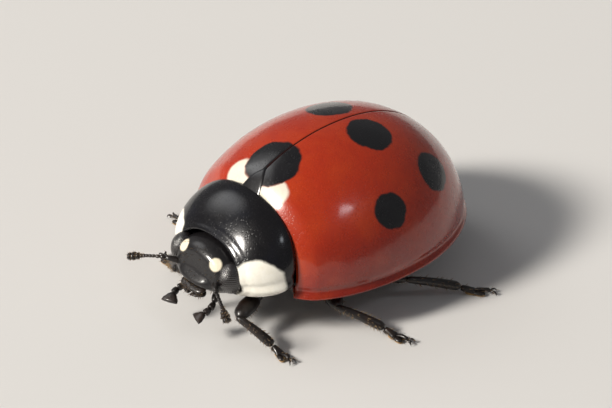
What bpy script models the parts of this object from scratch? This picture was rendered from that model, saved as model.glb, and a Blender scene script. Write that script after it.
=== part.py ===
"""A seven-spot ladybird at life size, standing still with its wing cases closed.

The head points to -Y, the animal's left is +X and up is +Z. The six feet stand on z = 0.
Each part of the animal is a closed solid of its own, about half a millimetre thick or more,
and a hair's breadth of space is left where two of them meet.
"""

import math

import bmesh
import bpy
from mathutils import Matrix, Vector

MM = 0.001

# What every part shares
SEAM = 0.025 * MM  # the space between parts that meet
LIMB_HALF = 0.25 * MM  # half the thickness of the legs and feelers
SIDES = {"left": 1, "right": -1}

# The wing cases: together an egg-shaped dome, cut off square in front
CASE_MIDDLE = Vector((0, 0.62, 1.02)) * MM  # where the dome is widest, on the level of its rim
CASE_HALF_WIDTH = 2.62 * MM
CASE_FRONT = 3.25 * MM
CASE_REAR = 3.18 * MM
CASE_RISE = 2.55 * MM
CASE_DROP = 0.13 * MM
HOLLOW_DROP = 0.52 * MM  # deeper than the rim, so that the hollow is open below
CASE_SQUARENESS = 2.12
CASE_THICKNESS = 0.50 * MM
SHOULDER_Y = -1.72 * MM  # where the dome is cut off

# The chest and abdomen, which fill the dome
BELLY_DROP = 0.27 * MM
WAIST_Y = 0.42 * MM

# The neck shield above and the front chest below, one rounded form parted at its side edge
SHIELD_MIDDLE = Vector((0, -1.70, 1.36)) * MM
SHIELD_HALF_WIDTH = 1.76 * MM
SHIELD_FRONT = 1.28 * MM
SHIELD_REAR = 0.30 * MM
SHIELD_RISE = 1.50 * MM
SHIELD_DROP = 0.55 * MM
SHIELD_SQUARENESS = 2.5

# The scutellum, the small triangle where the wing cases and the neck shield meet
SCUTELLUM_MIDDLE = Vector((0, -1.52, 2.80)) * MM
SCUTELLUM_RADIUS = 0.36 * MM
SCUTELLUM_DEPTH = 0.90 * MM

# The head
HEAD_MIDDLE = Vector((0, -2.66, 1.42)) * MM
HEAD_HALF_WIDTH = 0.94 * MM
HEAD_FRONT = 0.60 * MM
HEAD_REAR = 0.45 * MM
HEAD_RISE = 0.62 * MM
HEAD_DROP = 0.60 * MM
HEAD_SQUARENESS = 2.4
EYE_MIDDLE = Vector((0.79, -2.80, 1.50)) * MM
EYE_HALF = Vector((0.27, 0.30, 0.36)) * MM
LIP_MIDDLE = Vector((0, -3.26, 1.14)) * MM
LIP_HALF = Vector((0.42, 0.25, 0.25)) * MM
PALP_MIDDLE = Vector((0.42, -3.22, 0.72)) * MM
PALP_HALF = Vector((0.27, 0.34, 0.25)) * MM
FEELER_ROUTE = (  # base, bend and tip
    Vector((0.50, -3.00, 1.32)) * MM,
    Vector((1.10, -3.38, 1.34)) * MM,
    Vector((1.66, -3.66, 1.20)) * MM,
)

# The legs, from front to hind. The hip is given on the left. Headings are in degrees, 0 straight
# ahead and 90 straight out to the side. Lengths are along the floor, one for thigh, shin and foot.
LEG_PAIRS = {
    "front": {
        "hip": Vector((0.50, -2.02, 0.86)) * MM,
        "hip_half": Vector((0.36, 0.27, 0.30)) * MM,
        "headings": (42, 122, 100),
        "lengths": (1.06 * MM, 0.84 * MM, 0.66 * MM),
    },
    "middle": {
        "hip": Vector((0.92, -0.52, 0.80)) * MM,
        "hip_half": Vector((0.38, 0.27, 0.27)) * MM,
        "headings": (62, 122, 100),
        "lengths": (1.32 * MM, 1.02 * MM, 0.74 * MM),
    },
    "hind": {
        "hip": Vector((0.96, 0.42, 0.80)) * MM,
        "hip_half": Vector((0.50, 0.27, 0.27)) * MM,
        "headings": (116, 164, 146),
        "lengths": (1.46 * MM, 1.22 * MM, 0.82 * MM),
    },
}
STRIDE = 8  # degrees that a leg reaches ahead of or behind its pair's heading
LEG_LEVELS = (0.47 * MM, 0.60 * MM, 0.24 * MM, 0.22 * MM)  # centre line at hip, knee, ankle, toe
THIGH_HALF_WIDTH = 0.29 * MM  # a little wider than the rest of the leg
JOINT_REACH = 0.20 * MM  # how far each length of a leg goes into the one before it

ON_AXIS = 0.001  # a point of a unit form this near its long axis is one of its two poles

FAR = 10 * MM  # past the end of every part, for flat cutters


def new_collection(name):
    made = bpy.data.collections.new(name)
    bpy.context.scene.collection.children.link(made)
    return made


for old in list(bpy.data.objects):
    bpy.data.objects.remove(old)
ladybird = new_collection("ladybird")
cutters = new_collection("cutters")


def new_material(name, colour, roughness):
    material = bpy.data.materials.new(name)
    material.use_nodes = True
    shader = material.node_tree.nodes["Principled BSDF"]
    shader.inputs["Base Color"].default_value = (*colour, 1)
    shader.inputs["Roughness"].default_value = roughness
    shader.inputs["Metallic"].default_value = 0
    return material


red_shell = new_material("red shell", (0.42, 0.035, 0.008), 0.22)
black_shell = new_material("black shell", (0.010, 0.008, 0.010), 0.25)
eye_black = new_material("eye black", (0.008, 0.007, 0.008), 0.15)
limb_black = new_material("limb black", (0.014, 0.010, 0.008), 0.35)


def new_object(name, bm):
    mesh = bpy.data.meshes.new(name)
    bm.to_mesh(mesh)
    bm.free()
    return bpy.data.objects.new(name, mesh)


def part(name, bm, material):
    obj = new_object(name, bm)
    obj.data.materials.append(material)
    obj.data.shade_smooth()
    obj.data.set_sharp_from_angle(angle=math.radians(35))
    ladybird.objects.link(obj)
    return obj


def cutter(name, bm):
    obj = new_object("cutter_" + name, bm)
    obj.hide_render = True
    obj.display_type = "WIRE"
    cutters.objects.link(obj)
    return obj


def cut(obj, *tools):
    for tool in tools:
        modifier = obj.modifiers.new("cut by " + tool.name, "BOOLEAN")
        modifier.operation = "DIFFERENCE"
        modifier.solver = "EXACT"
        modifier.object = tool


def keep_inside(obj, tool):
    modifier = obj.modifiers.new("kept inside " + tool.name, "BOOLEAN")
    modifier.operation = "INTERSECT"
    modifier.solver = "EXACT"
    modifier.object = tool


def join(obj, tool):
    modifier = obj.modifiers.new("joined to " + tool.name, "BOOLEAN")
    modifier.operation = "UNION"
    modifier.solver = "EXACT"
    modifier.object = tool


def on_side(point, side):
    """The same point on the left, for side 1, or on the right, for side -1."""
    return Vector((point.x * side, point.y, point.z))


def box(low, high):
    bm = bmesh.new()
    bmesh.ops.create_cube(bm, size=1)
    size = high - low
    bmesh.ops.scale(bm, vec=size, verts=bm.verts)
    bmesh.ops.translate(bm, vec=low + size / 2, verts=bm.verts)
    return bm


def slab(low_x=-FAR, low_y=-FAR, low_z=-FAR, high_x=FAR, high_y=FAR, high_z=FAR):
    """A box that is larger than the animal except where a side is given."""
    return box(Vector((low_x, low_y, low_z)), Vector((high_x, high_y, high_z)))


def rounded_form(middle, half_width, front, rear, rise, drop, squareness=2.0, segments=22, rings=12):
    """A closed egg with its poles ahead and behind. A squareness above 2 makes the ends blunter."""
    bm = bmesh.new()
    bmesh.ops.create_uvsphere(bm, u_segments=segments, v_segments=rings, radius=1)
    bmesh.ops.rotate(bm, verts=bm.verts, matrix=Matrix.Rotation(math.radians(90), 3, "X"))
    power = 2 / squareness
    for vert in bm.verts:
        x, y, z = vert.co
        around = math.hypot(x, z)
        blunter = around ** (power - 1) if around > ON_AXIS else 1
        reach = abs(y) ** power
        vert.co.x = x * blunter * half_width
        vert.co.y = reach * (rear if y > 0 else -front)
        vert.co.z = z * blunter * (rise if z > 0 else drop)
    bmesh.ops.translate(bm, vec=middle, verts=bm.verts)
    return bm


def ellipsoid(middle, half, grow=0.0, segments=12, rings=6):
    x, y, z = half + Vector((grow, grow, grow))
    return rounded_form(middle, x, y, y, z, z, segments=segments, rings=rings)


def eye_form(side, grow=0.0):
    return ellipsoid(on_side(EYE_MIDDLE, side), EYE_HALF, grow, segments=14, rings=8)


def limb(start, end, half_width, half_height=LIMB_HALF, grow=0.0):
    """A blunt-ended length of leg or feeler from start to end."""
    bm = bmesh.new()
    bmesh.ops.create_uvsphere(bm, u_segments=10, v_segments=6, radius=1)
    run = end - start
    for vert in bm.verts:
        x, y, z = vert.co
        around = math.hypot(x, y)
        blunter = 1 / math.sqrt(around) if around > ON_AXIS else 1
        vert.co.x = x * blunter * (half_width + grow)
        vert.co.y = y * blunter * (half_height + grow)
        vert.co.z = z * (run.length / 2 + grow)
    across = Vector((0, 0, 1)).cross(run).normalized()
    turn = Matrix((across, run.normalized().cross(across), run.normalized())).transposed()
    bmesh.ops.rotate(bm, verts=bm.verts, matrix=turn)
    bmesh.ops.translate(bm, vec=(start + end) / 2, verts=bm.verts)
    return bm


def case_form(inset=0.0, drop=CASE_DROP, segments=36, rings=20):
    return rounded_form(
        CASE_MIDDLE,
        CASE_HALF_WIDTH - inset,
        CASE_FRONT - inset,
        CASE_REAR - inset,
        CASE_RISE - inset,
        drop,
        CASE_SQUARENESS,
        segments,
        rings,
    )


def trunk_form():
    """The chest and abdomen in one, a seam's width inside the wing cases."""
    return case_form(CASE_THICKNESS + SEAM, BELLY_DROP, segments=24, rings=14)


def front_form(grow=0.0):
    return rounded_form(
        SHIELD_MIDDLE,
        SHIELD_HALF_WIDTH + grow,
        SHIELD_FRONT + grow,
        SHIELD_REAR + grow,
        SHIELD_RISE + grow,
        SHIELD_DROP + grow,
        SHIELD_SQUARENESS,
    )


def head_form(grow=0.0):
    return rounded_form(
        HEAD_MIDDLE,
        HEAD_HALF_WIDTH + grow,
        HEAD_FRONT + grow,
        HEAD_REAR + grow,
        HEAD_RISE + grow,
        HEAD_DROP + grow,
        HEAD_SQUARENESS,
        segments=18,
        rings=10,
    )


def scutellum_form(grow=0.0):
    """A triangular peg. Its corners stand twice as far from the middle as its sides do."""
    radius = SCUTELLUM_RADIUS + 2 * grow
    depth = SCUTELLUM_DEPTH + 2 * grow
    bm = bmesh.new()
    bmesh.ops.create_cone(bm, cap_ends=True, segments=3, radius1=radius, radius2=radius, depth=depth)
    bmesh.ops.translate(bm, vec=SCUTELLUM_MIDDLE, verts=bm.verts)
    return bm


def leg_joints(pair, side):
    """The centre line of one leg at the hip, knee, ankle and toe."""
    leg = LEG_PAIRS[pair]
    stride = STRIDE * side if pair == "middle" else -STRIDE * side
    point = on_side(leg["hip"], side)
    joints = [Vector((point.x, point.y, LEG_LEVELS[0]))]
    for heading, length, level in zip(leg["headings"], leg["lengths"], LEG_LEVELS[1:]):
        angle = math.radians(heading + stride)
        point = point + Vector((math.sin(angle) * side, -math.cos(angle), 0)) * length
        joints.append(Vector((point.x, point.y, level)))
    return joints


front_cutter = cutter("front", front_form(SEAM))
head_cutter = cutter("head", head_form(SEAM))
scutellum_cutter = cutter("scutellum", scutellum_form(SEAM))
lip_cutter = cutter("lip", ellipsoid(LIP_MIDDLE, LIP_HALF, SEAM))
eye_cutters = [cutter(f"eye_{name}", eye_form(side, SEAM)) for name, side in SIDES.items()]
hip_cutters = {
    pair: [
        cutter(f"hip_{pair}_{name}", ellipsoid(on_side(leg["hip"], side), leg["hip_half"], SEAM))
        for name, side in SIDES.items()
    ]
    for pair, leg in LEG_PAIRS.items()
}


def wing_cases():
    hollow = cutter("hollow", case_form(CASE_THICKNESS, HOLLOW_DROP))
    for name, side in SIDES.items():
        case = part(f"wing_case_{name}", case_form(), red_shell)
        inner, outer = sorted((side * SEAM / 2, side * FAR))
        keep_inside(case, cutter(f"half_{name}", slab(low_x=inner, high_x=outer, low_y=SHOULDER_Y)))
        cut(case, hollow, front_cutter, scutellum_cutter)


def trunk():
    chest = part("chest", trunk_form(), black_shell)
    keep_inside(chest, cutter("chest", slab(low_y=SHOULDER_Y, high_y=WAIST_Y - SEAM / 2)))
    cut(chest, front_cutter, scutellum_cutter)
    abdomen = part("abdomen", trunk_form(), black_shell)
    keep_inside(abdomen, cutter("abdomen", slab(low_y=WAIST_Y + SEAM / 2)))
    for obj in (chest, abdomen):
        cut(obj, *hip_cutters["middle"], *hip_cutters["hind"])
    plate = part("scutellum", scutellum_form(), black_shell)
    keep_inside(plate, cutter("outline", case_form()))
    cut(plate, front_cutter)


def front_chest():
    edge = SHIELD_MIDDLE.z
    shield = part("neck_shield", front_form(), black_shell)
    keep_inside(shield, cutter("above_edge", slab(low_z=edge + SEAM / 2)))
    under = part("front_chest", front_form(), black_shell)
    keep_inside(under, cutter("below_edge", slab(high_z=edge - SEAM / 2)))
    for obj in (shield, under):
        cut(obj, head_cutter, *eye_cutters)
    cut(under, *hip_cutters["front"])


def head():
    skull = part("head", head_form(), black_shell)
    cut(skull, lip_cutter, *eye_cutters)
    part("upper_lip", ellipsoid(LIP_MIDDLE, LIP_HALF), limb_black)
    for name, side in SIDES.items():
        part(f"eye_{name}", eye_form(side), eye_black)
        palp = part(f"palp_{name}", ellipsoid(on_side(PALP_MIDDLE, side), PALP_HALF), limb_black)
        cut(palp, lip_cutter, head_cutter)
        feeler(name, side)


def feeler(name, side):
    """Two lengths joined at the bend, with the outer one reaching a little into the inner one."""
    base, bend, tip = (on_side(point, side) for point in FEELER_ROUTE)
    overlap = (bend - tip).normalized() * LIMB_HALF
    outer = cutter(f"feeler_{name}", limb(bend + overlap, tip, LIMB_HALF))
    obj = part(f"feeler_{name}", limb(base, bend - overlap, LIMB_HALF), limb_black)
    join(obj, outer)
    cut(obj, head_cutter, *eye_cutters)


def legs():
    """Each length reaches a little into the one before it, and is hollowed to fit round it."""
    floor = cutter("floor", slab(high_z=0))
    widths = {"thigh": THIGH_HALF_WIDTH, "shin": LIMB_HALF, "foot": LIMB_HALF}
    for pair, leg in LEG_PAIRS.items():
        for name, side in SIDES.items():
            end = f"{pair}_{name}"
            part(f"hip_{end}", ellipsoid(on_side(leg["hip"], side), leg["hip_half"]), limb_black)
            before = hip_cutters[pair][list(SIDES).index(name)]
            joints = leg_joints(pair, side)
            for length, start, stop in zip(widths, joints, joints[1:]):
                start = start + (start - stop).normalized() * JOINT_REACH
                obj = part(f"{length}_{end}", limb(start, stop, widths[length]), limb_black)
                cut(obj, before)
                before = cutter(f"{length}_{end}", limb(start, stop, widths[length], grow=SEAM))
            cut(obj, floor)


wing_cases()
trunk()
front_chest()
head()
legs()
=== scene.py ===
import math
import random

import bmesh
import bpy
from mathutils import Matrix, Vector, kdtree, noise


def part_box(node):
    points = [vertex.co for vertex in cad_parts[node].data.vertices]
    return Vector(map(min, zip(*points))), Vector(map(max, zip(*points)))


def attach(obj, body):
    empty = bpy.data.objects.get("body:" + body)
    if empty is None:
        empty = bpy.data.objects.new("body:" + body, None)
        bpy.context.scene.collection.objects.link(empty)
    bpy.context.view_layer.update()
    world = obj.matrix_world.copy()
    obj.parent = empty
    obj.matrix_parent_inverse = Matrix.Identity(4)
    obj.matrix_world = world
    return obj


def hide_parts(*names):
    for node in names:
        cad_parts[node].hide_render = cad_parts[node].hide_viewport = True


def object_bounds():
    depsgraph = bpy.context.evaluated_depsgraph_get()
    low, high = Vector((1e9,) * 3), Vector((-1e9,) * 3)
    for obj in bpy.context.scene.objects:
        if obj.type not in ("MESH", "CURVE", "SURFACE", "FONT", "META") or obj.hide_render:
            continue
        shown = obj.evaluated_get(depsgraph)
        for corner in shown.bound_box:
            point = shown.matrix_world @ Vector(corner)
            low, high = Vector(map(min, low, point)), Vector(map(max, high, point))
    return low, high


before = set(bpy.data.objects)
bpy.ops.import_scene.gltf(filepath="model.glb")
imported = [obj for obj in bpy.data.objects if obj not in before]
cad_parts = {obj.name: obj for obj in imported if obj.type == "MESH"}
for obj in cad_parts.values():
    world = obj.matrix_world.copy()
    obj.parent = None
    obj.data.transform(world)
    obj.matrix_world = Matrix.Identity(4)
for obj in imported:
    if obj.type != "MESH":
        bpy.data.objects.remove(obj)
cad_low, cad_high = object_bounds()

# ---------------------------------------------------------------------------------------------
# Wing cases. Two stiff shells of glossy chitin roof the body behind the neck shield and meet in
# a straight seam. Each is a tenth of a millimetre thick, swells into a blunt bump at the
# shoulder, and ends in a fine bead with a flange that turns in under the body.

MM = 0.001  # the pieces are worked in millimetres and stand in metres


def corners(node):
    """The lowest and highest corners of a node of the frame, in millimetres."""
    low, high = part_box(node)
    return low / MM, high / MM


def as_piece(name, bm, *materials, sharp=50):
    """Stands a finished mesh in the scene as a smooth piece."""
    bmesh.ops.scale(bm, vec=(MM, MM, MM), verts=bm.verts)
    mesh = bpy.data.meshes.new(name)
    bm.to_mesh(mesh)
    bm.free()
    mesh.shade_smooth()
    mesh.set_sharp_from_angle(angle=math.radians(sharp))
    for material in materials:
        mesh.materials.append(material)
    piece = bpy.data.objects.new(name, mesh)
    bpy.context.scene.collection.objects.link(piece)
    return piece


def give_wall(piece, thickness):
    """Thickens a piece inwards from its outer face."""
    wall = piece.modifiers.new("wall", "SOLIDIFY")
    wall.thickness = thickness * MM
    wall.offset = -1


def blend(low, high, share):
    """The value that lies the given share of the way from low to high."""
    return low + (high - low) * share


def hump(distance, width):
    """1 at no distance, falling smoothly to nothing a width or two away."""
    return math.exp(-((distance / width) ** 2))


case_low, case_high = corners("wing_case_left")
RIM = case_low.z + 0.08
HALF_WIDTH = case_high.x
RISE = case_high.z - RIM
SHOULDER = case_low.y
REAR_END = case_high.y
WIDEST = blend(SHOULDER, REAR_END, 0.424)
FRONT_REACH = 1.389 * (WIDEST - SHOULDER)  # the egg would run on under the neck shield
REAR_REACH = REAR_END - WIDEST
SQUARENESS = 2.12
CASE_WALL = 0.09
SEAM_GAP = 0.003
BEAD = 0.05  # how far the rim's bead stands out
BEAD_HEIGHT = 0.085
FLANGE = 0.40
FLANGE_SAG = 0.065
TOP_SHARE = 0.9  # of the faces across a shell, those above the rim
FRONT_BEND = 0.34  # the length of the stretch that bends down to the neck shield
FRONT_TAPER = 0.085  # the shares of the width and height that it loses there
FRONT_DROP = 0.055
SHOULDER_BUMP = Vector((1.62, -1.02, 2.0))
POLE_MERGE = 0.006  # closes the rows that run together at the rear


def girth(y):
    """How wide and high the dome is at a place along the body, 1 where it is widest."""
    reach = FRONT_REACH if y < WIDEST else REAR_REACH
    share = min(1.0, abs(y - WIDEST) / reach)
    return (1 - share**SQUARENESS) ** (1 / SQUARENESS)


def dome(x, y):
    """The height of the wing cases' outer face."""
    across = min(1.0, abs(x) / (HALF_WIDTH * max(girth(y), 0.01)))
    return RIM + RISE * girth(y) * math.sqrt(1 - across**2)


def front_edge(over):
    """Where a case begins along the body, at a share of the way down from the seam."""
    return SHOULDER + blend(0.16, -0.09, over**2)


def front_fall(y, over):
    """1 at the front edge of a case, where it bends down to the neck shield, and 0 behind."""
    return min(1.0, max(0.0, 1 - (y - front_edge(over)) / FRONT_BEND)) ** 2


def rim_outward(y):
    """The level direction straight out from the left rim."""
    reach = FRONT_REACH if y < WIDEST else REAR_REACH
    along = (y - WIDEST) / reach
    lean = math.copysign(abs(along) ** (SQUARENESS - 1), along) / reach
    return Vector((girth(y) ** (SQUARENESS - 1) / HALF_WIDTH, lean, 0)).normalized()


def case_relief(place):
    """How far the outer face stands proud of the plain dome."""
    shoulder_bump = 0.055 * hump((place - SHOULDER_BUMP).length, 0.42)
    gutter = -0.028 * hump(place.z - RIM - 0.17, 0.075)
    seam_fall = -0.020 * max(0.0, 1 - place.x / 0.05) ** 2
    unevenness = 0.007 * noise.noise(place * 1.1) + 0.0025 * noise.noise(place * 4.0)
    return shoulder_bump + gutter + seam_fall + unevenness


def wing_case(name, side, material):
    """One case, drawn out from a level grid: across it from the seam to the flange's edge, and
    along it from the shoulder to the rear."""
    bm = bmesh.new()
    bmesh.ops.create_grid(bm, x_segments=150, y_segments=170, size=0.5)
    start = math.asin(((WIDEST - SHOULDER) / FRONT_REACH) ** (SQUARENESS / 2))
    for vert in bm.verts:
        across, along = vert.co.x + 0.5, vert.co.y + 0.5
        over = min(1.0, across / TOP_SHARE)
        under = max(0.0, across - TOP_SHARE) / (1 - TOP_SHARE)
        over = blend(over, over * over * (3 - 2 * over), 0.6)
        turn = math.radians(90) * (1 - over)
        lengthwise = blend(-start, math.radians(90), 1 - (1 - along) ** 1.25)
        reach = math.copysign(abs(math.sin(lengthwise)) ** (2 / SQUARENESS), lengthwise)
        y = WIDEST + reach * (FRONT_REACH if reach < 0 else REAR_REACH)
        y += (front_edge(over) - SHOULDER) * (1 - along) ** 4
        fall = front_fall(y, over)
        x = HALF_WIDTH * girth(y) * math.cos(turn) * (1 - FRONT_TAPER * fall)
        z = RIM + RISE * girth(y) * math.sin(turn) * (1 - FRONT_DROP * fall)
        bead = BEAD * hump(z - RIM, BEAD_HEIGHT) * (1 - under) ** 3
        tuck = FLANGE * under * (1 - 0.7 * hump(y - REAR_END, 1.3))
        vert.co = Vector((x + SEAM_GAP, y, z)) + rim_outward(y) * (bead - tuck)
        vert.co.z -= FLANGE_SAG * math.sin(math.pi * min(1.0, under * 1.35))
    bmesh.ops.remove_doubles(bm, verts=bm.verts, dist=POLE_MERGE)
    bm.normal_update()
    reliefs = [(vert, vert.normal * case_relief(vert.co)) for vert in bm.verts]
    for vert, relief in reliefs:
        vert.co += relief
    if side < 0:
        bmesh.ops.scale(bm, vec=(-1, 1, 1), verts=bm.verts)
        bmesh.ops.reverse_faces(bm, faces=bm.faces)
    return as_piece(name, bm, material)


class Field:
    """One output socket in a tree of shader nodes, so that a pattern is written as a sum."""

    def __init__(self, tree, socket):
        self.tree = tree
        self.socket = socket

    def node(self, kind, settings=None, inputs=None, output=0):
        """Adds a node of a kind, sets it, feeds its sockets with values or fields."""
        made = self.tree.nodes.new(kind)
        for name, value in (settings or {}).items():
            setattr(made, name, value)
        for key, value in (inputs or {}).items():
            if isinstance(value, Field):
                self.tree.links.new(value.socket, made.inputs[key])
            else:
                made.inputs[key].default_value = value
        return Field(self.tree, made.outputs[output])

    def maths(self, operation, *terms):
        return self.node("ShaderNodeMath", {"operation": operation}, dict(enumerate(terms)))

    def __add__(self, other):
        return self.maths("ADD", self, other)

    __radd__ = __add__

    def __sub__(self, other):
        return self.maths("SUBTRACT", self, other)

    def __rsub__(self, other):
        return self.maths("SUBTRACT", other, self)

    def __mul__(self, other):
        return self.maths("MULTIPLY", self, other)

    __rmul__ = __mul__

    def __abs__(self):
        return self.maths("ABSOLUTE", self)

    def __or__(self, other):
        return self.maths("MAXIMUM", self, other)

    def __and__(self, other):
        return self.maths("MINIMUM", self, other)

    def step(self, low, high):
        """0 at low and 1 at high, with a smooth rise between."""
        spans = {0: self, 1: low, 2: high, 3: 0.0, 4: 1.0}
        return self.node("ShaderNodeMapRange", {"interpolation_type": "SMOOTHSTEP"}, spans)

    def colour(self, low, high):
        """One colour where this is 0 and the other where it is 1."""
        ends = {0: self}
        for key, end in ((6, low), (7, high)):
            ends[key] = end if isinstance(end, Field) else (*end, 1)
        return self.node("ShaderNodeMix", {"data_type": "RGBA"}, ends, output=2)

    def vector(self, operation, other, output=0):
        terms = {0: self, 1: other}
        return self.node("ShaderNodeVectorMath", {"operation": operation}, terms, output)

    def away_from(self, point):
        return self.vector("DISTANCE", point, output=1)

    def axis(self, index):
        return self.node("ShaderNodeSeparateXYZ", inputs={0: self}, output=index)

    def clouds(self, size, detail=2.0, roughness=0.5):
        """Soft noise from 0 to 1 whose patches are about the given size across."""
        sockets = {0: self, 2: 1 / size, 3: detail, 4: roughness}
        return self.node("ShaderNodeTexNoise", inputs=sockets)

    def cells(self, size, feature="F1"):
        """Distance from the middle of cells of about the given size, or from their edges."""
        sockets = {0: self, 2: 1 / size, "Randomness": 0.8}
        return self.node("ShaderNodeTexVoronoi", {"feature": feature}, sockets)

    def bump(self, height):
        """A relief of this many millimetres from 0 to 1."""
        return self.node("ShaderNodeBump", inputs={0: 1.0, 1: height * MM, 3: self})


def new_material(name, **sockets):
    """A material with its shader's fixed values, and the place on the animal in millimetres."""
    material = bpy.data.materials.new(name)
    material.use_nodes = True
    tree = material.node_tree
    shader = tree.nodes["Principled BSDF"]
    for socket, value in sockets.items():
        shader.inputs[socket.replace("_", " ")].default_value = value
    coordinates = tree.nodes.new("ShaderNodeTexCoord").outputs["Object"]
    place = Field(tree, coordinates).vector("DIVIDE", (MM, MM, MM))
    return material, shader, place


def feed(shader, **fields):
    """Links fields to the shader's sockets of the same names."""
    for socket, field in fields.items():
        field.tree.links.new(field.socket, shader.inputs[socket.replace("_", " ")])


BLACK = (0.004, 0.0035, 0.0045)
PAINTED_SEAM_SHADE = (0.030, 0.004, 0.002)
SPOTS = {  # across from the seam, along the body, radius
    "shared": (0.00, -0.94, 0.63),
    "side": (2.16, 0.52, 0.40),
    "middle": (0.68, 1.24, 0.51),
    "rear": (1.72, 2.16, 0.46),
}
PALE_PATCH = (0.54, -1.46, 0.36)  # beside the scutellum


def both_sides(place):
    """The same place on the left, so that a pattern falls alike on both sides."""
    parts = {0: abs(place.axis(0)), 1: place.axis(1), 2: place.axis(2)}
    return place.node("ShaderNodeCombineXYZ", inputs=parts)


def wavering(place, pace, reach):
    """The place on the left, pushed about a little so that a mark's edge isn't a true circle."""
    push = place.node("ShaderNodeTexNoise", inputs={0: place, 2: pace, 3: 3.0}, output=1)
    push = push.vector("SUBTRACT", (0.5, 0.5, 0.5)).vector("MULTIPLY", (reach, reach, reach))
    return both_sides(place).vector("ADD", push)


def spot(place, x, y, radius, edge, z=None):
    """A round mark with a soft edge, on the dome where no height is given."""
    middle = (x, y, dome(x, y) if z is None else z)
    return place.away_from(middle).step(radius + edge, radius - edge)


red_shell, shader, place = new_material("red shell", Specular_IOR_Level=0.32, Coat_Roughness=0.10)
marked = wavering(place, 2.4, 0.22)
black = None
for x, y, radius in SPOTS.values():
    mark = spot(marked, x, y, radius, 0.03)
    black = black | mark if black else mark
pale = spot(marked, *PALE_PATCH, 0.05) & (1 - black)
# The red is painted darker low on the dome towards the rim and lighter on top: painted shade, not
# a change in the chitin's own colour.
depth = place.axis(2).step(1.0, 2.9)
mottle = place.clouds(0.9, 4, 0.6)
fine_mottle = place.clouds(0.12, 3, 0.6)
red = depth.colour((0.21, 0.010, 0.0025), (0.365, 0.0225, 0.003))
red = (mottle.step(0.35, 0.75) * 0.55).colour(red, (0.45, 0.047, 0.0055))
red = (fine_mottle.step(0.45, 0.8) * 0.25).colour(red, (0.24, 0.010, 0.002))
ivory = fine_mottle.colour((0.68, 0.62, 0.49), (0.80, 0.76, 0.66))
shell = pale.colour(red, ivory)
shell = black.colour(shell, BLACK)
# A dark brown line is painted along the seam: painted shade in the gap between the two cases.
seam = abs(place.axis(0)).step(0.030, 0.012)
shell = (seam * 0.85).colour(shell, PAINTED_SEAM_SHADE)
pits = place.cells(0.058).step(0.06, 0.42)
ripple = place.clouds(0.30, 3)
feed(
    shader,
    Base_Color=shell,
    Roughness=0.22 + 0.12 * place.clouds(0.25, 4) + 0.10 * (1 - pits) + 0.3 * seam,
    Coat_Weight=(0.65 + 0.30 * place.clouds(0.6, 2)) * (1 - seam),
    Normal=(pits + 0.35 * ripple).bump(0.0026),
)

SIDES = (("left", 1), ("right", -1))

for name, side in SIDES:
    case = wing_case(f"wing_case_{name}_shell", side, red_shell)
    give_wall(case, CASE_WALL)
    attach(case, "root")
    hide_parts(f"wing_case_{name}")

# ---------------------------------------------------------------------------------------------
# Scutellum. A small black triangle of chitin let in between the bases of the wing cases, with
# its point at the head of the seam. It is slightly crowned and finely dimpled.

SCUTELLUM_BASE = SHOULDER + 0.10
SCUTELLUM_POINT = SHOULDER + 0.66
SCUTELLUM_HALF = 0.32
SCUTELLUM_WALL = 0.10


def jet_black(grain, sheen):
    """Black chitin, with a faint painted blue reflection in patches."""
    jet = grain.colour((0.0025, 0.0025, 0.0035), (0.008, 0.007, 0.008))
    # The blue patches are a painted reflection on the black, not the chitin's own colour.
    return (sheen.step(0.4, 0.8) * 0.6).colour(jet, (0.004, 0.005, 0.011))


black_shell, shader, place = new_material(
    "black shell", Specular_IOR_Level=0.22, Coat_Roughness=0.08
)
pits = place.cells(0.080).step(0.05, 0.30)
grain = place.clouds(0.16, 4, 0.6)
sheen = place.clouds(0.8, 3)
feed(
    shader,
    Base_Color=jet_black(grain, sheen),
    Roughness=0.27 + 0.16 * grain,
    Coat_Weight=0.42 + 0.30 * sheen,
    Normal=(pits + 0.4 * grain).bump(0.0035),
)

bm = bmesh.new()
bmesh.ops.create_circle(bm, cap_ends=True, segments=3, radius=1)
bmesh.ops.subdivide_edges(bm, edges=bm.edges, cuts=12, use_grid_fill=True)
for vert in bm.verts:
    x = vert.co.x / math.sin(math.radians(60)) * SCUTELLUM_HALF
    share = (vert.co.y + 0.5) / 1.5
    to_edge = min(share, 1 - abs(x) / SCUTELLUM_HALF - share, 0.16) / 0.16
    x *= 1 + 0.16 * math.sin(math.pi * share)
    y = blend(SCUTELLUM_BASE, SCUTELLUM_POINT, share)
    crown = 0.012 - 0.03 * (1 - max(0.0, to_edge)) ** 2
    z = RIM + (dome(x, y) - RIM) * (1 - FRONT_DROP * front_fall(y, 0.1))
    vert.co = Vector((x, y, z + crown))
scutellum = as_piece("scutellum_plate", bm, black_shell)
give_wall(scutellum, SCUTELLUM_WALL)
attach(scutellum, "root")
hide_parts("scutellum")

# ---------------------------------------------------------------------------------------------
# Neck shield. A black saddle of chitin over the front of the chest, hollowed in front for the
# head. A fine bead edges it, the front corners are ivory, and the sides fold in underneath.

shield_low, shield_high = corners("neck_shield")
SHIELD_EDGE = shield_low.z
SHIELD_WALL = 0.08
COLLAR_HALF = 1.05  # half the width, and the top, of the opening for the head
COLLAR_TOP = 2.13
SHIELD_FRONT = (-2.66, -2.94)  # along the body, in the middle and at the side edges
SHIELD_BACK = (-1.50, -1.80)
SHIELD_FOLD = 0.62  # the width of the part that folds in underneath
UNDER_SHARE = 0.5  # how many rows it takes, as a share of those above the edges
CORNER_PATCH = (1.34, -2.54, 0.63)  # its place across and along, its radius and its height
CORNER_HEIGHT = 1.40


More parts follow.
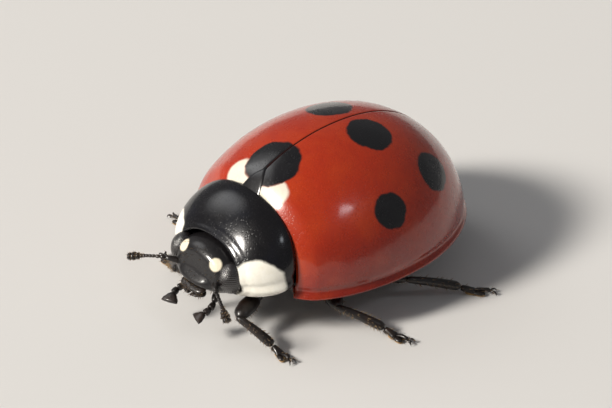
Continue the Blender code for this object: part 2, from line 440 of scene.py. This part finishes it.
def shield_point(across, along):
    """Across runs from -1 to 1 between the side edges and past them underneath, along from
    0 at the head to 1 at the wing cases."""
    side = math.copysign(1, across)
    over = min(1.0, abs(across))
    under = max(0.0, abs(across) - 1)
    half = blend(COLLAR_HALF, shield_high.x, math.sin(math.radians(90) * along**0.72))
    half -= 0.05 * along**6
    top = blend(COLLAR_TOP, shield_high.z, math.sin(math.radians(90) * along**0.85))
    corner = max(0.0, (over - 0.72) / 0.28) ** 2
    front = blend(*SHIELD_FRONT, over**2.2) + 0.24 * corner
    back = blend(*SHIELD_BACK, over**2.4)
    turn = math.radians(90) * over
    x = half * math.sin(turn) ** (2 / 2.25)
    z = SHIELD_EDGE + (top - SHIELD_EDGE) * max(0.0, math.cos(turn)) ** (2 / 2.15)
    z -= 0.10 * over**4 * (1 - along)
    if under:
        x -= SHIELD_FOLD * under
        z -= 0.16 * math.sin(math.radians(90) * min(1.0, under * 2.5)) + 0.10 * under
    return Vector((side * x, blend(front, back, along), z))


def shield_relief(across, along):
    """The beads along the edges, each with a groove inside it, and the bend at the back."""
    from_side = (1 - min(1.0, abs(across))) * 2.4
    from_front = along * 1.2
    from_back = (1 - along) * 1.2
    edge_bead = 0.022 * hump(from_side, 0.07) - 0.020 * hump(from_side - 0.16, 0.07)
    front_bead = 0.012 * hump(from_front, 0.045) - 0.012 * hump(from_front - 0.10, 0.05)
    return edge_bead + front_bead - 0.03 * hump(from_back, 0.06)


bm = bmesh.new()
bmesh.ops.create_grid(bm, x_segments=190, y_segments=72, size=0.5)
laid = []
for vert in bm.verts:
    across = vert.co.x * 2 * (1 + UNDER_SHARE)
    along = vert.co.y + 0.5
    if abs(across) > 1:
        across = math.copysign(1 + (abs(across) - 1) / UNDER_SHARE, across)
    laid.append((vert, across, along))
for vert, across, along in laid:
    vert.co = shield_point(across, along)
bm.normal_update()
moves = [(vert, vert.normal * shield_relief(across, along)) for vert, across, along in laid]
for vert, move in moves:
    vert.co += move + Vector((0, 0, 0.004 * noise.noise(vert.co * 1.5)))

shield_shell, shader, place = new_material(
    "shield shell", Specular_IOR_Level=0.22, Coat_Roughness=0.08
)
net = place.cells(0.030, "DISTANCE_TO_EDGE").step(0.0, 0.20)
pits = place.cells(0.068).step(0.06, 0.40)
grain = place.clouds(0.16, 4, 0.6)
sheen = place.clouds(0.8, 3)
patch = spot(wavering(place, 3.0, 0.16), *CORNER_PATCH, 0.04, z=CORNER_HEIGHT)
ivory = place.clouds(0.12, 3, 0.6).colour((0.82, 0.78, 0.66), (0.94, 0.92, 0.85))
feed(
    shader,
    Base_Color=patch.colour(jet_black(grain, sheen), ivory),
    Roughness=0.19 + 0.14 * grain,
    Coat_Weight=0.40 + 0.25 * sheen,
    Normal=(0.07 * net + pits + 0.12 * grain).bump(0.0026),
)
shield = as_piece("neck_shield_shell", bm, shield_shell)
give_wall(shield, SHIELD_WALL)
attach(shield, "root")
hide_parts("neck_shield")

# ---------------------------------------------------------------------------------------------
# Front chest. The black underside of the neck shield, a closed box of chitin that carries the
# front legs. A flat keel with two fine ridges runs between the hips.


def egg(bm, middle, half_width, front, rear, rise, drop, squareness, segments, rings):
    """Makes a closed egg with its poles ahead and behind, blunter with more squareness."""
    made = bmesh.ops.create_uvsphere(bm, u_segments=segments, v_segments=rings, radius=1)["verts"]
    bmesh.ops.rotate(bm, verts=made, matrix=Matrix.Rotation(math.radians(90), 3, "X"))
    power = 2 / squareness
    for vert in made:
        x, y, z = vert.co
        around = max(1e-6, math.hypot(x, z))
        blunter = around ** (power - 1)
        vert.co.x = x * blunter * half_width
        vert.co.y = abs(y) ** power * (rear if y > 0 else -front)
        vert.co.z = z * blunter * (rise if z > 0 else drop)
    bmesh.ops.translate(bm, vec=middle, verts=made)
    return made


FRONT_CHEST = Vector((0, -1.70, corners("front_chest")[1].z))
KEEL_HALF = 0.15

bm = bmesh.new()
egg(
    bm, FRONT_CHEST, half_width=1.58, front=0.86, rear=0.26, rise=1.30, drop=0.52,
    squareness=2.5, segments=96, rings=60,
)
for vert in bm.verts:
    if vert.co.z < FRONT_CHEST.z:
        keel = hump(vert.co.x, 0.20) * hump(vert.co.y + 2.1, 0.8)
        ridges = hump(abs(vert.co.x) - KEEL_HALF, 0.035) * hump(vert.co.y + 2.2, 0.7)
        vert.co.z -= 0.04 * keel + 0.015 * ridges
front_chest = as_piece("front_chest_shell", bm, black_shell)
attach(front_chest, "root")
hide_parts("front_chest")

# ---------------------------------------------------------------------------------------------
# Head. A short black capsule of chitin let into the neck shield up to the eyes. The face is
# flat and finely dimpled, with an ivory spot inside each eye, and juts out over the mouth.

head_low, head_high = corners("head")
HEAD_MIDDLE = Vector((0, -2.66, (head_low.z + head_high.z) / 2))
FEELER_SOCKET = Vector((0.50, -3.06, 1.36))
BROW = Vector((0.56, -2.98, 1.62))
HEAD_SPOT = (0.52, -3.02, 1.80)


def head_relief(place):
    """How far the front of the head stands out from the plain egg."""
    on_left = Vector((abs(place.x), place.y, place.z))
    front = max(0.0, -2.70 - place.y)
    flat_face = -0.10 * hump(place.x, 0.55) * hump(place.z - 1.62, 0.30) * min(1.0, front * 4)
    ledge = 0.13 * hump(place.x, 0.50) ** 0.5 * hump(place.z - 1.29, 0.13) * min(1.0, front * 4)
    socket = -0.075 * hump((on_left - FEELER_SOCKET).length, 0.12)
    brow = 0.03 * hump((on_left - BROW).length, 0.16)
    chin = -0.10 * hump(place.z - 0.95, 0.16) * min(1.0, front * 3)
    return flat_face + ledge + socket + brow + chin + 0.006 * noise.noise(place * 3)


bm = bmesh.new()
egg(
    bm, HEAD_MIDDLE, half_width=0.90, front=0.58, rear=0.42, rise=0.61, drop=0.58,
    squareness=2.5, segments=120, rings=80,
)
for vert in bm.verts:
    vert.co.y -= head_relief(vert.co)

head_shell, shader, place = new_material(
    "head shell", Specular_IOR_Level=0.25, Coat_Roughness=0.10
)
dimples = place.cells(0.075).step(0.06, 0.32)
grain = place.clouds(0.12, 4, 0.6)
jet = grain.colour((0.0045, 0.0045, 0.006), (0.014, 0.012, 0.012))
spots = both_sides(place).away_from(HEAD_SPOT) + 0.05 * (grain - 0.5)
spots = spots.step(0.17, 0.12)
ivory = grain.colour((0.72, 0.62, 0.44), (0.88, 0.82, 0.66))
feed(
    shader,
    Base_Color=spots.colour(jet, ivory),
    Roughness=0.30 + 0.18 * grain,
    Coat_Weight=0.35 + 0.20 * grain,
    Normal=(dimples + 0.4 * grain).bump(0.005),
)
head = as_piece("head_capsule", bm, head_shell)
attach(head, "root")
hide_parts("head")

# ---------------------------------------------------------------------------------------------
# Eyes. Each is a black oval button of some three hundred domed facets, set into the side of
# the head and hardly covered by the neck shield.

FACET = 0.045  # the size of a facet, and how far its middle stands up
FACET_DOME = 0.014
FACET_FALL = 3.2  # how fast it falls off to the edge of the facet
FACET_ROOM = Vector((0.0, 0.008, 0.008))  # left round the eye for the facets

eye_black, shader, place = new_material("eye black", Specular_IOR_Level=0.6, Coat_Roughness=0.05)
tint = place.clouds(0.10, 2)
feed(
    shader,
    Base_Color=tint.colour((0.004, 0.004, 0.005), (0.020, 0.015, 0.014)),
    Roughness=0.16 + 0.12 * tint,
    Coat_Weight=0.7 + 0.2 * tint,
)

for name, side in SIDES:
    eye_low, eye_high = corners(f"eye_{name}")
    bm = bmesh.new()
    bmesh.ops.create_icosphere(bm, subdivisions=4, radius=1)
    bmesh.ops.scale(bm, vec=(eye_high - eye_low) / 2 - FACET_ROOM, verts=bm.verts)
    facets = kdtree.KDTree(len(bm.verts))
    for index, vert in enumerate(bm.verts):
        facets.insert(vert.co, index)
    facets.balance()
    bmesh.ops.subdivide_edges(bm, edges=bm.edges, cuts=3, use_grid_fill=True)
    bm.normal_update()
    for vert in bm.verts:
        from_middle = facets.find(vert.co)[2] / FACET
        vert.co += vert.co.normalized() * FACET_DOME * (1 - FACET_FALL * from_middle**2)
    bmesh.ops.translate(bm, vec=(eye_low + eye_high) / 2, verts=bm.verts)
    eye = as_piece(f"eye_{name}_facets", bm, eye_black, sharp=80)
    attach(eye, "root")
    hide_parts(f"eye_{name}")

# ---------------------------------------------------------------------------------------------
# Feelers. Eleven small joints of dark brown chitin on each side: a stout first joint in its
# socket before the eye, a round second one, a slender run, and three broad ones as a club.

UP = Vector((0, 0, 1))


def limb(bm, start, end, widths, heights=None, arch=0.0, up=UP, sides=12, steps=12, blunt=0.14):
    """Draws out a closed, blunt-ended form from start to end. Widths and heights are its half
    sizes at even shares of the way, and arch lifts its middle."""
    run = end - start
    heights = heights or widths
    across = up.cross(run).normalized()
    over = run.normalized().cross(across)
    ring = bmesh.ops.create_circle(bm, segments=sides, radius=1)["verts"]
    edges = []
    for vert in ring:
        edges += [edge for edge in vert.link_edges if edge not in edges]
    before = Matrix.Identity(4)
    made = list(ring)
    for step in range(steps + 1):
        share = (1 - math.cos(math.pi * step / steps)) / 2
        part = share * (len(widths) - 1)
        first = min(int(part), len(widths) - 2)
        ease = part - first
        ease = ease * ease * (3 - 2 * ease)
        to_end = min(1.0, min(share, 1 - share) / blunt)
        full = max(0.02, math.sqrt(1 - (1 - to_end) ** 2))
        middle = start + run * share + over * arch * math.sin(math.pi * share)
        width = blend(widths[first], widths[first + 1], ease) * full
        height = blend(heights[first], heights[first + 1], ease) * full
        columns = (across * width, over * height, run.normalized() * width)
        place = Matrix([(*column, 0) for column in columns] + [(*middle, 1)]).transposed()
        if step:
            grown = bmesh.ops.extrude_edge_only(bm, edges=edges)["geom"]
            ring = [item for item in grown if isinstance(item, bmesh.types.BMVert)]
            edges = [
                item
                for item in grown
                if isinstance(item, bmesh.types.BMEdge) and all(v in ring for v in item.verts)
            ]
            made += ring
        bmesh.ops.transform(bm, matrix=place @ before.inverted(), verts=ring)
        before = place
        if step in (0, steps):
            bmesh.ops.contextual_create(bm, geom=edges)
    faces = list({face for vert in made for face in vert.link_faces})
    bmesh.ops.recalc_face_normals(bm, faces=faces)
    return made


limb_shell, shader, place = new_material(
    "limb shell", Specular_IOR_Level=0.35, Coat_Roughness=0.12
)
grain = place.clouds(0.10, 4, 0.6)
patches = place.clouds(0.45, 2)
dark = grain.colour((0.005, 0.0045, 0.005), (0.016, 0.011, 0.009))
dark = (patches.step(0.45, 0.75) * 0.7).colour(dark, (0.030, 0.014, 0.007))
dimples = place.cells(0.045).step(0.05, 0.34)
feed(
    shader,
    Base_Color=dark,
    Roughness=0.30 + 0.20 * grain,
    Coat_Weight=0.20 + 0.20 * grain,
    Normal=(dimples + 0.5 * grain).bump(0.003),
)


def mirrored(point, side):
    """A point given on the left, on the side asked for."""
    return Vector((point[0] * side, point[1], point[2]))


def far_end(node, start):
    """The point of a node that lies farthest from start."""
    points = [vert.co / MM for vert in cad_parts[node].data.vertices]
    return max(points, key=lambda point: (point - start).length)


JOINT_LENGTHS = (0.30, 0.15, 0.19, 0.12, 0.12, 0.10, 0.10, 0.10, 0.14, 0.14, 0.15)
JOINT_HALVES = (0.082, 0.066, 0.046, 0.044, 0.044, 0.044, 0.048, 0.056, 0.086, 0.108, 0.094)
JOINT_LAP = 0.012
FEELER_BASE = (0.52, -3.04, 1.36)
FEELER_BEND = (0.84, -3.30, 1.44)

feeler_pieces = []
for name, side in SIDES:
    base, bend = mirrored(FEELER_BASE, side), mirrored(FEELER_BEND, side)
    tip = far_end(f"feeler_{name}", HEAD_MIDDLE)
    bm = bmesh.new()
    stretch = (tip - bend).length / sum(JOINT_LENGTHS[1:])
    at = base
    for index, (length, half) in enumerate(zip(JOINT_LENGTHS, JOINT_HALVES)):
        if index == 0:
            heading, reach, sag = (bend - base).normalized(), (bend - base).length, 0
            flare = (half * 0.8, half, half * 0.8)
        else:
            heading, reach, sag = (tip - bend).normalized(), length * stretch, 0.07 * (index - 5)
            flare = (half * 0.62, half, half * 0.96)
        heading = (heading + Vector((0, 0, -0.25 * sag))).normalized()
        end = at + heading * reach
        flat = [0.8 * size for size in flare]
        limb(bm, at - heading * JOINT_LAP, end, flare, flat, steps=10, blunt=0.22)
        at = end
    feeler = as_piece(f"feeler_{name}_joints", bm, limb_shell)
    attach(feeler, "root")
    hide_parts(f"feeler_{name}")
    feeler_pieces.append((feeler, base, tip))

# ---------------------------------------------------------------------------------------------
# Mouth. A short upper lip hangs from the face over the tips of the jaws, and a feeling palp on
# each side ends in a broad joint shaped like an axe head.

LIP_END = (0.36, -3.20, 1.10)
JAW_ROOT = (0.30, -3.10, 0.98)
JAW_TIP = (0.03, -3.34, 0.93)

bm = bmesh.new()
limb(
    bm, mirrored(LIP_END, -1), mirrored(LIP_END, 1),
    (0.10, 0.15, 0.17, 0.15, 0.10), (0.045, 0.06, 0.065, 0.06, 0.045),
    up=Vector((0, -0.35, 1)), sides=16, steps=24, blunt=0.10,
)
for name, side in SIDES:
    limb(
        bm, mirrored(JAW_ROOT, side), mirrored(JAW_TIP, side),
        (0.12, 0.11, 0.05), (0.06, 0.055, 0.03), sides=10, blunt=0.2,
    )
lip = as_piece("mouth_lip_and_jaws", bm, limb_shell)
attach(lip, "root")
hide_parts("upper_lip")

PALP_JOINTS = (
    (0.34, -2.86, 0.93), (0.47, -3.02, 0.80), (0.54, -3.20, 0.74), (0.52, -3.34, 0.68)
)
PALP_HALVES = ((0.06, 0.08, 0.07), (0.05, 0.075, 0.085), (0.06, 0.08, 0.085))

for name, side in SIDES:
    palp_low = corners(f"palp_{name}")[0]
    joints = [mirrored(point, side) for point in PALP_JOINTS]
    tip = mirrored((0.44, palp_low.y + 0.02, palp_low.z + 0.10), side)
    bm = bmesh.new()
    for start, end, widths in zip(joints, joints[1:], PALP_HALVES):
        limb(bm, start, end, widths)
    # The last joint, flat and broad like an axe head
    limb(
        bm, joints[-1], tip,
        (0.06, 0.13, 0.185, 0.20), (0.055, 0.065, 0.06, 0.05), blunt=0.08, sides=16,
    )
    palp = as_piece(f"palp_{name}_joints", bm, limb_shell)
    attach(palp, "root")
    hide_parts(f"palp_{name}")

# ---------------------------------------------------------------------------------------------
# Chest and abdomen. Under the wing cases the body is a flattened black egg. The chest carries
# the middle and hind legs, and the abdomen closes it behind with five overlapping plates.

chest_low, chest_high = corners("chest")
BELLY = chest_low.z
WAIST = chest_high.y
WAIST_GAP = 0.01
PLATES = (0.98, 1.44, 1.84, 2.22, 2.60)  # where the belly's plates begin
LAST_PLATE_END = 3.1
END_ROOM = 0.30  # how far inside the wing cases the trunk lies at its ends, sides and top
SIDE_ROOM = 0.36
TOP_ROOM = 0.26
FLECK = (1.62, -1.22, 1.44)

belly_shell, shader, place = new_material("belly shell", Coat_Roughness=0.15)
grain = place.clouds(0.14, 4, 0.6)
dimples = place.cells(0.07).step(0.05, 0.30)
jet = grain.colour((0.005, 0.0045, 0.005), (0.016, 0.012, 0.010))
fleck = both_sides(place).vector("MULTIPLY", (1.0, 1.0, 1.6)).away_from(FLECK)
fleck = (fleck + 0.12 * (grain - 0.5)).step(0.30, 0.22)
ivory = grain.colour((0.66, 0.58, 0.42), (0.84, 0.78, 0.62))
feed(
    shader,
    Base_Color=fleck.colour(jet, ivory),
    Roughness=0.34 + 0.20 * grain,
    Coat_Weight=0.15 + 0.20 * grain,
    Normal=(dimples + 0.5 * grain).bump(0.004),
)


def belly_relief(place):
    """How far the belly stands down: a groove between the hips, and each plate over the next."""
    groove = -0.03 * hump(place.x, 0.03) * hump(place.y, 0.45)
    overlap = 0.0
    for near, far in zip((WAIST, *PLATES), (*PLATES, LAST_PLATE_END)):
        if near < place.y <= far:
            overlap = 0.035 * (place.y - near) / (far - near)
    lines = sum(-0.02 * hump(place.y - edge, 0.022) for edge in PLATES)
    return groove + overlap + lines


def trunk():
    """The whole of the body under the wing cases."""
    bm = bmesh.new()
    egg(
        bm, Vector((0, WIDEST, RIM)), half_width=HALF_WIDTH - SIDE_ROOM,
        front=FRONT_REACH - END_ROOM, rear=REAR_REACH - END_ROOM, rise=RISE - TOP_ROOM,
        drop=RIM - BELLY, squareness=SQUARENESS, segments=120, rings=150,
    )
    for vert in bm.verts:
        if vert.co.z < RIM:
            middle = hump(vert.co.x, 1.9) * hump(vert.co.y - WIDEST, 3.2)
            vert.co.z -= belly_relief(vert.co) * middle
    return bm


def cut_across(bm, y, **cleared):
    """Cuts the trunk straight across and clears what lies ahead (inner) or behind (outer)."""
    whole = [*bm.verts, *bm.edges, *bm.faces]
    bmesh.ops.bisect_plane(
        bm, geom=whole, dist=1e-5, plane_co=(0, y, 0), plane_no=(0, 1, 0), **cleared
    )


trunk_pieces = []
for name in ("chest", "abdomen"):
    bm = trunk()
    if name == "chest":
        cut_across(bm, WAIST, clear_outer=True)
        cut_across(bm, SHOULDER + 0.12, clear_inner=True)
    else:
        cut_across(bm, WAIST + WAIST_GAP, clear_inner=True)
    bmesh.ops.holes_fill(bm, edges=[edge for edge in bm.edges if edge.is_boundary])
    trunk_piece = as_piece(f"{name}_shell", bm, belly_shell)
    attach(trunk_piece, "root")
    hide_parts(name)
    trunk_pieces.append(trunk_piece)

# ---------------------------------------------------------------------------------------------
# Legs. Six short black legs of jointed chitin: a rounded hip, a broad flat thigh, a slim shin
# with two spurs, and a foot of a wedge, a pair of lobes with golden pads, and a clawed joint.

pad_gold, shader, place = new_material("pad gold", Specular_IOR_Level=0.3)
tint = place.clouds(0.05, 3)
feed(
    shader,
    Base_Color=tint.colour((0.20, 0.11, 0.045), (0.42, 0.27, 0.12)),
    Roughness=0.6 + 0.3 * tint,
    Normal=place.cells(0.02).bump(0.004),
)

KNEE_HEIGHT = 0.62
ANKLE_HEIGHT = 0.20
CLAW_HEIGHT = 0.006
RING_DROP = 0.16
THIGH_WIDTHS, THIGH_HEIGHTS = (0.12, 0.19, 0.215, 0.19, 0.12), (0.10, 0.145, 0.15, 0.13, 0.095)
SHIN_WIDTHS, SHIN_HEIGHTS = (0.070, 0.082, 0.095, 0.110, 0.115), (0.075, 0.09, 0.10, 0.105, 0.10)
BOTH_WAYS = (1, -1)


def level_run(start, end):
    """The length of the way from start to end over the floor, and its heading."""
    run = Vector((end.x - start.x, end.y - start.y, 0))
    return run.length, run.normalized()


def thigh_and_shin(bm, hip, outer, knee, ankle):
    """Adds the ring that joins the leg to its hip, the thigh and the shin."""
    out = level_run(hip, knee)[1]
    root = outer.lerp(hip, 0.35) - UP * RING_DROP
    limb(bm, root - out * 0.10, root + out * 0.22, (0.11, 0.13, 0.11), blunt=0.3)
    limb(
        bm, root + out * 0.10, knee, THIGH_WIDTHS, THIGH_HEIGHTS,
        arch=0.03, sides=20, steps=18,
    )
    start = knee - (ankle - knee).normalized() * 0.05
    limb(
        bm, start, ankle, SHIN_WIDTHS, SHIN_HEIGHTS, arch=0.02, sides=16, steps=16, blunt=0.10
    )


def foot(bm, ankle, toe):
    """Adds the spurs, the wedge, the two lobes, and the slender joint with its toothed claws."""
    reach, along = level_run(ankle, toe)
    across = UP.cross(along)
    level = Vector((ankle.x, ankle.y, 0))
    for way in BOTH_WAYS:
        spur = ankle + across * way * 0.06 - UP * 0.04
        spur_end = spur + along * 0.10 + across * way * 0.03 - UP * 0.05
        limb(bm, spur, spur_end, (0.018, 0.012, 0.003), sides=6, steps=4)
    wedge_end = level + along * reach * 0.40 + UP * 0.075
    limb(bm, ankle - UP * 0.02, wedge_end, (0.060, 0.085, 0.125), (0.06, 0.065, 0.05), blunt=0.12)
    for way in BOTH_WAYS:
        lobe = wedge_end + across * way * 0.045 - along * 0.05
        lobe_end = lobe + along * reach * 0.32 + across * way * 0.05 - UP * 0.012
        limb(bm, lobe, lobe_end, (0.05, 0.07, 0.062), (0.035, 0.04, 0.032), blunt=0.25)
    stem = wedge_end - along * 0.02 + UP * 0.02
    claw_root = level + along * reach * 0.80 + UP * 0.10
    limb(bm, stem, claw_root, (0.03, 0.036, 0.050), arch=0.035, blunt=0.12)
    for way in BOTH_WAYS:
        claw = claw_root + across * way * 0.022
        tip = Vector((toe.x, toe.y, CLAW_HEIGHT)) + across * way * 0.085 - along * 0.03
        limb(
            bm, claw, tip, (0.026, 0.022, 0.013, 0.003), arch=0.055,
            sides=8, steps=10, blunt=0.08,
        )
        tooth = claw.lerp(tip, 0.25)
        tooth_end = tooth + along * 0.045 - UP * 0.055
        limb(bm, tooth, tooth_end, (0.016, 0.010, 0.003), sides=6, steps=4)


def pads(bm, ankle, toe):
    """Adds the pads under the wedge and the lobes, which stand on the floor."""
    reach, along = level_run(ankle, toe)
    across = UP.cross(along)
    level = Vector((ankle.x, ankle.y, 0))
    limb(
        bm, level + along * reach * 0.12 + UP * 0.045, level + along * reach * 0.40 + UP * 0.030,
        (0.05, 0.08, 0.10), (0.035, 0.032, 0.030), blunt=0.25,
    )
    for way in BOTH_WAYS:
        pad = level + along * reach * 0.38 + across * way * 0.055 + UP * 0.026
        pad_end = pad + along * reach * 0.28 + across * way * 0.035
        limb(bm, pad, pad_end, (0.04, 0.058, 0.05), (0.026, 0.026, 0.024), blunt=0.3)


def leg(end):
    """The whole leg whose nodes' names have this end."""
    hip_low, hip_high = corners(f"hip_{end}")
    hip = (hip_low + hip_high) / 2
    knee = far_end(f"thigh_{end}", hip)
    ankle = far_end(f"shin_{end}", knee)
    toe = far_end(f"foot_{end}", ankle)
    knee.z, ankle.z = KNEE_HEIGHT, ANKLE_HEIGHT
    bm = bmesh.new()
    # The hip, a drum lying across the body
    inner, outer = (Vector((x, hip.y, hip.z)) for x in sorted((hip_low.x, hip_high.x), key=abs))
    limb(bm, inner, outer, (0.20, 0.27, 0.24), (0.20, 0.25, 0.22), sides=20, blunt=0.3)
    thigh_and_shin(bm, hip, outer, knee, ankle)
    foot(bm, ankle, toe)
    hard = len(bm.faces)
    pads(bm, ankle, toe)
    bm.faces.ensure_lookup_table()
    for face in bm.faces[hard:]:
        face.material_index = 1
    return as_piece(f"leg_{end}_joints", bm, limb_shell, pad_gold)


leg_pieces = []
for pair in ("front", "middle", "hind"):
    for name, side in SIDES:
        end = f"{pair}_{name}"
        made = leg(end)
        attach(made, "root")
        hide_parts(f"hip_{end}", f"thigh_{end}", f"shin_{end}", f"foot_{end}")
        leg_pieces.append((made, end))

# ---------------------------------------------------------------------------------------------
# Bristles. Short, stiff, pale brown hairs stand on the legs, thickest on the shins and feet, on
# the belly, the face, the mouth and the clubs of the feelers. Each is a thin three-sided spike.

bristle_brown, shader, place = new_material("bristle brown", Specular_IOR_Level=0.4)
tint = place.clouds(0.08, 3)
feed(
    shader,
    Base_Color=tint.colour((0.10, 0.055, 0.025), (0.42, 0.30, 0.17)),
    Roughness=0.45 + 0.2 * tint,
)
UV_PATCH = 0.003
BRISTLE_ROOT = 0.0065  # half the thickness of a bristle at its root and its tip
BRISTLE_TIP = 0.0006
FLOOR_ROOM = 0.004  # no bristle reaches lower
picker = random.Random(11)


def bristles(name, skins, count, length, lean, wanted):
    """Roots count bristles on each skin, on the faces wanted, leaning along the skin's run.
    Each is a patch of the OFBake map, at its root's place round and along its skin."""
    bm = bmesh.new()
    uv_layer = bm.loops.layers.uv.new("OFBake")
    for index, (skin, start, end) in enumerate(skins):
        run = end - start
        level = run.cross(UP).normalized()
        faces = [face for face in skin.data.polygons if wanted(face.center / MM, face.normal)]
        faces.sort(key=lambda face: sorted(face.vertices))  # their own order isn't always the same
        weights = [round(face.area / MM**2, 7) for face in faces]
        for face in picker.choices(faces, weights, k=count):
            rim = [skin.data.vertices[vert].co / MM for vert in sorted(face.vertices)]
            shares = [picker.random() for corner in rim]
            root = sum((at * share for at, share in zip(rim, shares)), Vector()) / sum(shares)
            sway = Vector([picker.uniform(-0.25, 0.25) for axis in range(3)])
            heading = (face.normal + run.normalized() * lean + sway).normalized()
            size = length * picker.uniform(0.6, 1.25)
            if root.z + heading.z * size < FLOOR_ROOM:
                continue
            place = Matrix.Translation(root + heading * size * 0.42)
            place @= heading.to_track_quat("Z", "Y").to_matrix().to_4x4()
            spike = bmesh.ops.create_cone(
                bm, cap_ends=True, segments=3, radius1=BRISTLE_ROOT, radius2=BRISTLE_TIP,
                depth=size, matrix=place,
            )["verts"]
            around = math.atan2(face.normal.dot(level), face.normal.z) / (2 * math.pi) + 0.5
            along = min(1.0, max(0.0, (root - start).dot(run) / run.length_squared))
            corner = Vector(((index + 0.05 + 0.9 * around) / len(skins), 0.02 + 0.95 * along))
            for loop in (loop for vert in spike for loop in vert.link_loops):
                turn = list(loop.face.loops).index(loop)
                loop[uv_layer].uv = corner + Vector((turn % 2, turn // 2)) * UV_PATCH
    return as_piece(name, bm, bristle_brown, sharp=180)


leg_skins = []
for made, end in leg_pieces:
    hip = sum(corners(f"hip_{end}"), Vector()) / 2
    leg_skins.append((made, hip, far_end(f"foot_{end}", hip)))
belly_run = (Vector((0, SHOULDER, BELLY)), Vector((0, REAR_END, BELLY)))
face_skins = [
    (head, Vector((0, -2.4, 1.9)), Vector((0, -3.3, 1.0))),
    (lip, Vector((0, -3.1, 1.2)), Vector((0, -3.4, 1.0))),
]
shin_hairs = bristles(
    "leg_bristles", leg_skins, count=330, length=0.085, lean=0.9,
    wanted=lambda place, normal: place.z < 0.66 and normal.z < 0.85,
)
belly_hairs = bristles(
    "belly_bristles", [(piece, *belly_run) for piece in trunk_pieces],
    count=420, length=0.09, lean=1.3,
    wanted=lambda place, normal: place.z < RIM - 0.03 and normal.z < -0.3,
)
face_hairs = bristles(
    "face_bristles", face_skins, count=70, length=0.075, lean=0.5,
    wanted=lambda place, normal: normal.y < -0.3 and place.y < -2.95,
)
club_hairs = bristles(
    "feeler_bristles", feeler_pieces, count=150, length=0.045, lean=0.8,
    wanted=lambda place, normal: abs(place.x) > 1.30,
)
for hairs in (shin_hairs, belly_hairs, face_hairs, club_hairs):
    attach(hairs, "root")

# ---------------------------------------------------------------------------------------------
# Floor, lights and camera. A plain pale floor under a soft key light from the camera's left, a
# small one from its right that glints on the near wing case, and a broad one from behind. The
# camera looks down on the animal from its front left.

FLOOR_RADIUS = 450
floor_material, shader, place = new_material("pale floor", Roughness=0.7)
shader.inputs["Base Color"].default_value = (0.68, 0.67, 0.655, 1)
bm = bmesh.new()
bmesh.ops.create_circle(bm, cap_ends=True, segments=64, radius=FLOOR_RADIUS)
floor = as_piece("floor", bm, floor_material)

world = bpy.data.worlds.new("studio")
bpy.context.scene.world = world
world.use_nodes = True
background = world.node_tree.nodes["Background"]
background.inputs["Color"].default_value = (0.84, 0.84, 0.86, 1)
background.inputs["Strength"].default_value = 0.19

CAMERA_AZIMUTH = math.radians(49)
CAMERA_ELEVATION = math.radians(33.5)
CAMERA_DISTANCE = 122
middle = (Vector(cad_low) + Vector(cad_high)) / 2
toward = Vector((
    math.sin(CAMERA_AZIMUTH) * math.cos(CAMERA_ELEVATION),
    -math.cos(CAMERA_AZIMUTH) * math.cos(CAMERA_ELEVATION),
    math.sin(CAMERA_ELEVATION),
))
right = Vector((math.cos(CAMERA_AZIMUTH), math.sin(CAMERA_AZIMUTH), 0))


def stand(thing, data, heading, distance):
    """Stands a light or the camera off in a heading from the animal, and turns it to it."""
    obj = bpy.data.objects.new(thing, data)
    obj.location = middle + heading.normalized() * distance * MM
    obj.rotation_euler = (-heading).to_track_quat("-Z", "Y").to_euler()
    bpy.context.scene.collection.objects.link(obj)
    return obj


def lamp(name, heading, distance, size, power, colour):
    """A round lamp behind a diffuser, brightest in the middle and fading towards its edge."""
    light = bpy.data.lights.new(name, "AREA")
    light.shape = "DISK"
    light.size = size * MM
    light.energy = power
    light.color = colour
    light.use_nodes = True
    tree = light.node_tree
    # Places on the lamp's face run from 0 to 1 both ways
    on_face = Field(tree, tree.nodes.new("ShaderNodeNewGeometry").outputs["Parametric"])
    feed(tree.nodes["Emission"], Strength=on_face.away_from((0.5, 0.5, 0)).step(0.5, 0.1))
    stand(name, light, heading, distance)


lamp("key", -1.1 * right + 0.54 * UP + 0.55 * toward, 600, 200, 13.2, (1.0, 0.95, 0.88))
lamp("fill", 0.9 * right + 0.8 * UP + 0.8 * toward, 800, 200, 0.70, (0.88, 0.94, 1.0))
lamp("back", -0.6 * right + 0.9 * UP - 0.5 * toward, 700, 560, 1.9, (1.0, 1.0, 1.0))

camera_data = bpy.data.cameras.new("camera")
camera_data.lens = 330
camera_data.clip_start = 1 * MM
camera_data.clip_end = 1
camera = stand("camera", camera_data, toward, CAMERA_DISTANCE)
bpy.context.scene.camera = camera
bpy.context.scene.view_settings.view_transform = "Standard"
